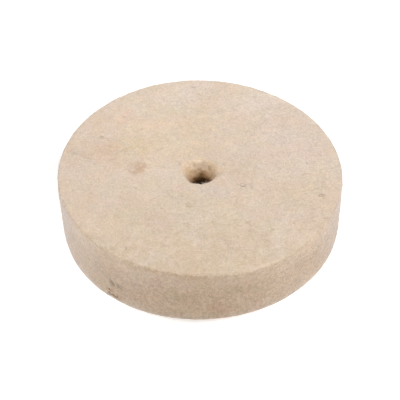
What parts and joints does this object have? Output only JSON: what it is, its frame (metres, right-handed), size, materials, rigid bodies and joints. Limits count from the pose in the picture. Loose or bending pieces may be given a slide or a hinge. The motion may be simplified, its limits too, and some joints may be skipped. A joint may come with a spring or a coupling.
{
  "type": "felt polishing wheel",
  "caption": "Thick flat disc of pressed wool felt with a plain central bore, for polishing stones and metal on a powered spindle.",
  "frame": {"origin": "on the bore's axis, halfway between the two flange faces", "axes": "+Z along the bore, towards the wider face; the wheel lies flat in XY"},
  "size_m": [0.1, 0.1, 0.024],
  "materials": {
    "felt": "matte"
  },
  "bodies": {
    "root": {"felt_wheel": "felt"}
  },
  "joints": []
}
